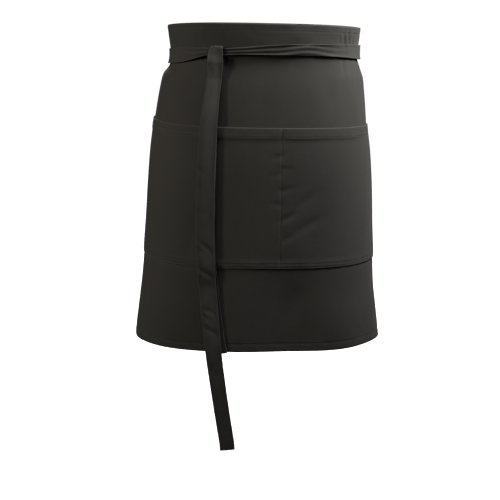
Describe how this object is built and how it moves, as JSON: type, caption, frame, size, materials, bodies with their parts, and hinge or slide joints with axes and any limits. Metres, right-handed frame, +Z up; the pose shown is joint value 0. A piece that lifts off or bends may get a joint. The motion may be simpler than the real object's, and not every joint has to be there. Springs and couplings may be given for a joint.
{
  "type": "waist apron",
  "caption": "Half apron in its worn shape: wide hemmed panel, folded waistband, divided front pocket panel and long self-fabric ties knotted in front.",
  "frame": {"origin": "centre of the waist that the apron is worn round, at the height of the ties", "axes": "+Z up along the body, -Y to the wearer's front, +X to the right as seen from the front"},
  "size_m": [0.3837, 0.2646, 0.6435],
  "materials": {
    "apron_cloth": "matt charcoal twill",
    "tie_cloth": "matt charcoal twill, doubled and edge stitched"
  },
  "bodies": {
    "root": {"panel": "apron_cloth", "waistband": "apron_cloth", "pocket": "apron_cloth", "tie_long": "tie_cloth", "tie_short": "tie_cloth"}
  },
  "joints": []
}
